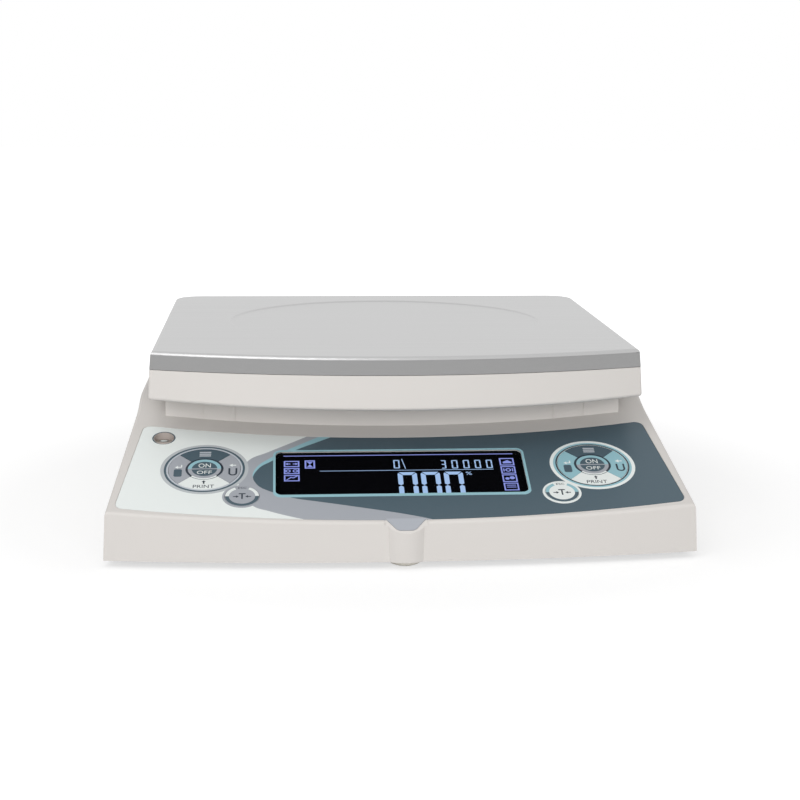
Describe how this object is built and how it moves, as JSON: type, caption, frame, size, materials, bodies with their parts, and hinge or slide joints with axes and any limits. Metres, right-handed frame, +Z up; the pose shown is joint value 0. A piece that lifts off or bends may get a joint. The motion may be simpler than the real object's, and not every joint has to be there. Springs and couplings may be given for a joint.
{
  "type": "precision bench scale",
  "caption": "Electronic bench scale: low grey base with a sloping keypad and display panel, square steel pan on a carrier over a load cell, adjustable feet.",
  "frame": {"origin": "on the bench, under the middle of the scale", "axes": "+Z up, -Y towards the front where the panel is, +X to the right seen from the front"},
  "size_m": [0.349, 0.36, 0.1161],
  "materials": {
    "housing": "light warm grey moulded plastic, fine texture",
    "cover": "grey moulded plastic",
    "steel_pan": "stainless sheet, satin",
    "steel": "zinc-plated steel",
    "castings": "cast or machined aluminium",
    "rubber": "black rubber",
    "wheel": "black plastic",
    "film": "printed label film: pale, grey, light blue and slate areas",
    "key_slate": "printed slate blue",
    "key_grey": "printed grey",
    "key_blue": "printed light blue",
    "key_white": "printed near-white",
    "window": "clear window",
    "display": "black display glass",
    "backlight": "white light guide",
    "gasket": "black foam",
    "board": "green circuit board",
    "dome": "snap domes",
    "cup": "white plastic cup",
    "vial": "clear vial with tinted liquid",
    "battery": "dark battery case",
    "socket": "black socket",
    "nickel": "nickel-plated shell and screws"
  },
  "bodies": {
    "base": {"top_housing": "housing", "bottom_cover": "cover", "base_frame": "steel", "foot_bushes": "steel", "load_cell": "castings", "cell_spacer_lower": "castings", "cell_bolts_lower": "steel", "overload_stop": "steel", "panel_film": "film", "display_window": "window", "display_gasket": "gasket", "display_glass": "display", "display_backlight": "backlight", "display_board": "board", "display_screws": "steel", "keypad_board_left": "board", "keypad_board_right": "board", "keypad_screws": "steel", "key_domes": "dome", "level_cup": "cup", "level_vial": "vial", "battery": "battery", "battery_door": "cover", "door_screws": "steel", "main_board": "board", "main_board_screws": "steel", "power_inlet": "socket", "inlet_nut": "nickel", "serial_port": "nickel", "serial_screws": "nickel", "frame_screws": "steel", "housing_screws": "steel"},
    "carrier": {"platform_carrier": "housing", "pan_bracket": "castings", "cell_spacer_upper": "castings", "cell_bolts_upper": "steel", "carrier_screws": "steel", "pan_buffers": "rubber"},
    "pan": {"weighing_pan": "steel_pan"},
    "foot_front_sole": {"foot_front_sole": "rubber"},
    "foot_front_stem": {"foot_front_stud": "steel", "foot_front_wheel": "wheel"},
    "foot_rear_left_sole": {"foot_rear_left_sole": "rubber"},
    "foot_rear_left_stem": {"foot_rear_left_stud": "steel", "foot_rear_left_wheel": "wheel"},
    "foot_rear_right_sole": {"foot_rear_right_sole": "rubber"},
    "foot_rear_right_stem": {"foot_rear_right_stud": "steel", "foot_rear_right_wheel": "wheel"},
    "key_left_power": {"key_left_power": "key_slate"},
    "key_left_menu": {"key_left_menu": "key_slate"},
    "key_left_enter": {"key_left_enter": "key_grey"},
    "key_left_print": {"key_left_print": "key_white"},
    "key_left_units": {"key_left_units": "key_grey"},
    "key_left_tare": {"key_left_tare": "key_grey"},
    "key_right_power": {"key_right_power": "key_slate"},
    "key_right_menu": {"key_right_menu": "key_slate"},
    "key_right_enter": {"key_right_enter": "key_blue"},
    "key_right_print": {"key_right_print": "key_white"},
    "key_right_units": {"key_right_units": "key_blue"},
    "key_right_tare": {"key_right_tare": "key_white"}
  },
  "joints": [
    {"name": "weighing_travel", "type": "slide", "parent": "base", "child": "carrier", "axis": [0, 0, -1], "range_m": [0, 0.0006], "stiffness_N_per_m": 600000, "deforming": ["load_cell"]},
    {"name": "pan_lift_off", "type": "slide", "parent": "carrier", "child": "pan", "axis": [0, 0, 1], "range_m": [0, 0.06]},
    {"name": "foot_front_height", "type": "slide", "parent": "base", "child": "foot_front_sole", "axis": [0, 0, -1], "range_m": [0, 0.006]},
    {"name": "foot_front_turn", "type": "hinge", "parent": "foot_front_sole", "child": "foot_front_stem", "pos_m": [0, -0.165, 0.003], "axis": [0, 0, -1], "range_deg": [0, 1728]},
    {"name": "foot_rear_left_height", "type": "slide", "parent": "base", "child": "foot_rear_left_sole", "axis": [0, 0, -1], "range_m": [0, 0.006]},
    {"name": "foot_rear_left_turn", "type": "hinge", "parent": "foot_rear_left_sole", "child": "foot_rear_left_stem", "pos_m": [-0.134, 0.148, 0.003], "axis": [0, 0, -1], "range_deg": [0, 1728]},
    {"name": "foot_rear_right_height", "type": "slide", "parent": "base", "child": "foot_rear_right_sole", "axis": [0, 0, -1], "range_m": [0, 0.006]},
    {"name": "foot_rear_right_turn", "type": "hinge", "parent": "foot_rear_right_sole", "child": "foot_rear_right_stem", "pos_m": [0.134, 0.148, 0.003], "axis": [0, 0, -1], "range_deg": [0, 1728]},
    {"name": "key_left_power_press", "type": "slide", "parent": "base", "child": "key_left_power", "axis": [0, 0.3665, -0.9304], "range_m": [0, 0.0004], "stiffness_N_per_m": 5000},
    {"name": "key_left_menu_press", "type": "slide", "parent": "base", "child": "key_left_menu", "axis": [0, 0.3665, -0.9304], "range_m": [0, 0.0004], "stiffness_N_per_m": 5000},
    {"name": "key_left_enter_press", "type": "slide", "parent": "base", "child": "key_left_enter", "axis": [0, 0.3665, -0.9304], "range_m": [0, 0.0004], "stiffness_N_per_m": 5000},
    {"name": "key_left_print_press", "type": "slide", "parent": "base", "child": "key_left_print", "axis": [0, 0.3665, -0.9304], "range_m": [0, 0.0004], "stiffness_N_per_m": 5000},
    {"name": "key_left_units_press", "type": "slide", "parent": "base", "child": "key_left_units", "axis": [0, 0.3665, -0.9304], "range_m": [0, 0.0004], "stiffness_N_per_m": 5000},
    {"name": "key_left_tare_press", "type": "slide", "parent": "base", "child": "key_left_tare", "axis": [0, 0.3665, -0.9304], "range_m": [0, 0.0004], "stiffness_N_per_m": 5000},
    {"name": "key_right_power_press", "type": "slide", "parent": "base", "child": "key_right_power", "axis": [0, 0.3665, -0.9304], "range_m": [0, 0.0004], "stiffness_N_per_m": 5000},
    {"name": "key_right_menu_press", "type": "slide", "parent": "base", "child": "key_right_menu", "axis": [0, 0.3665, -0.9304], "range_m": [0, 0.0004], "stiffness_N_per_m": 5000},
    {"name": "key_right_enter_press", "type": "slide", "parent": "base", "child": "key_right_enter", "axis": [0, 0.3665, -0.9304], "range_m": [0, 0.0004], "stiffness_N_per_m": 5000},
    {"name": "key_right_print_press", "type": "slide", "parent": "base", "child": "key_right_print", "axis": [0, 0.3665, -0.9304], "range_m": [0, 0.0004], "stiffness_N_per_m": 5000},
    {"name": "key_right_units_press", "type": "slide", "parent": "base", "child": "key_right_units", "axis": [0, 0.3665, -0.9304], "range_m": [0, 0.0004], "stiffness_N_per_m": 5000},
    {"name": "key_right_tare_press", "type": "slide", "parent": "base", "child": "key_right_tare", "axis": [0, 0.3665, -0.9304], "range_m": [0, 0.0004], "stiffness_N_per_m": 5000}
  ],
  "couplings": [
    {"joint": "foot_front_turn", "follows": "foot_front_height", "rad_per_m": 5026.5},
    {"joint": "foot_rear_left_turn", "follows": "foot_rear_left_height", "rad_per_m": 5026.5},
    {"joint": "foot_rear_right_turn", "follows": "foot_rear_right_height", "rad_per_m": 5026.5}
  ]
}
